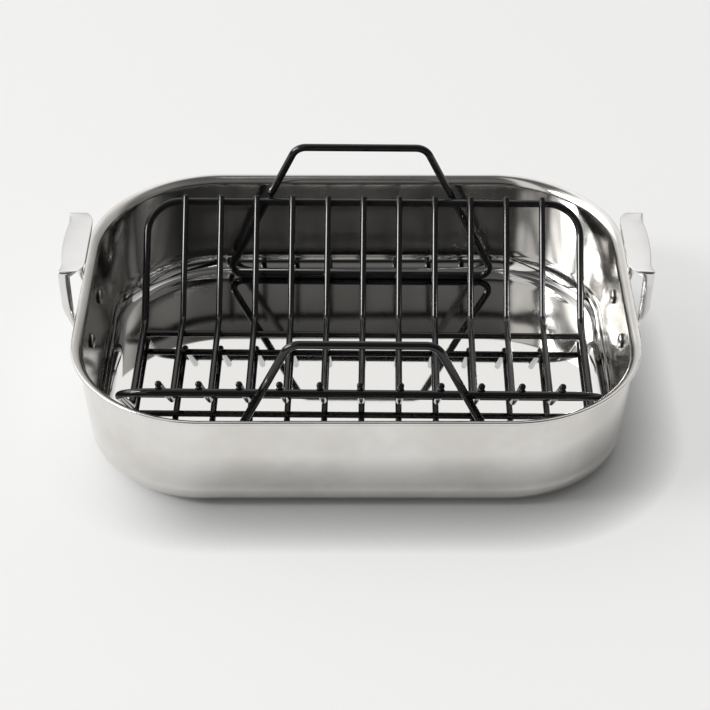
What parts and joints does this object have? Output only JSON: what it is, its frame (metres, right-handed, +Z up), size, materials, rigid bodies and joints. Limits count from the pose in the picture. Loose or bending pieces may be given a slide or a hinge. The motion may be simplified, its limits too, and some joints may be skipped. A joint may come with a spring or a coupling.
{
  "type": "roasting pan",
  "caption": "Round-cornered stainless roasting pan with a flared pouring lip and riveted upright handles, holding a loose black wire rack that cradles a roast.",
  "frame": {"origin": "middle of the underside of the pan, on the surface that it stands on", "axes": "+X along the length of the pan to the right handle, +Y to the back, +Z up"},
  "size_m": [0.424, 0.318, 0.1279],
  "materials": {
    "pan_steel": "stainless steel, polished to a mirror inside and finely brushed outside",
    "handle_steel": "cast stainless steel, polished",
    "rivet_steel": "satin stainless steel",
    "rack_coating": "black non-stick coating on steel wire, semi-gloss"
  },
  "bodies": {
    "pan": {"pan_shell": "pan_steel", "left_handle": "handle_steel", "right_handle": "handle_steel", "left_front_rivet": "rivet_steel", "left_back_rivet": "rivet_steel", "right_front_rivet": "rivet_steel", "right_back_rivet": "rivet_steel"},
    "rack": {"rack_frame": "rack_coating", "rack_wire_01": "rack_coating", "rack_wire_02": "rack_coating", "rack_wire_03": "rack_coating", "rack_wire_04": "rack_coating", "rack_wire_05": "rack_coating", "rack_wire_06": "rack_coating", "rack_wire_07": "rack_coating", "rack_wire_08": "rack_coating", "rack_wire_09": "rack_coating", "rack_wire_10": "rack_coating", "rack_wire_11": "rack_coating", "rack_brace_front": "rack_coating", "rack_brace_back": "rack_coating", "rack_loop_front": "rack_coating", "rack_loop_back": "rack_coating"}
  },
  "joints": [
    {"name": "rack_lift", "type": "slide", "parent": "pan", "child": "rack", "axis": [0, 0, 1], "range_m": [0, 0.16]}
  ]
}
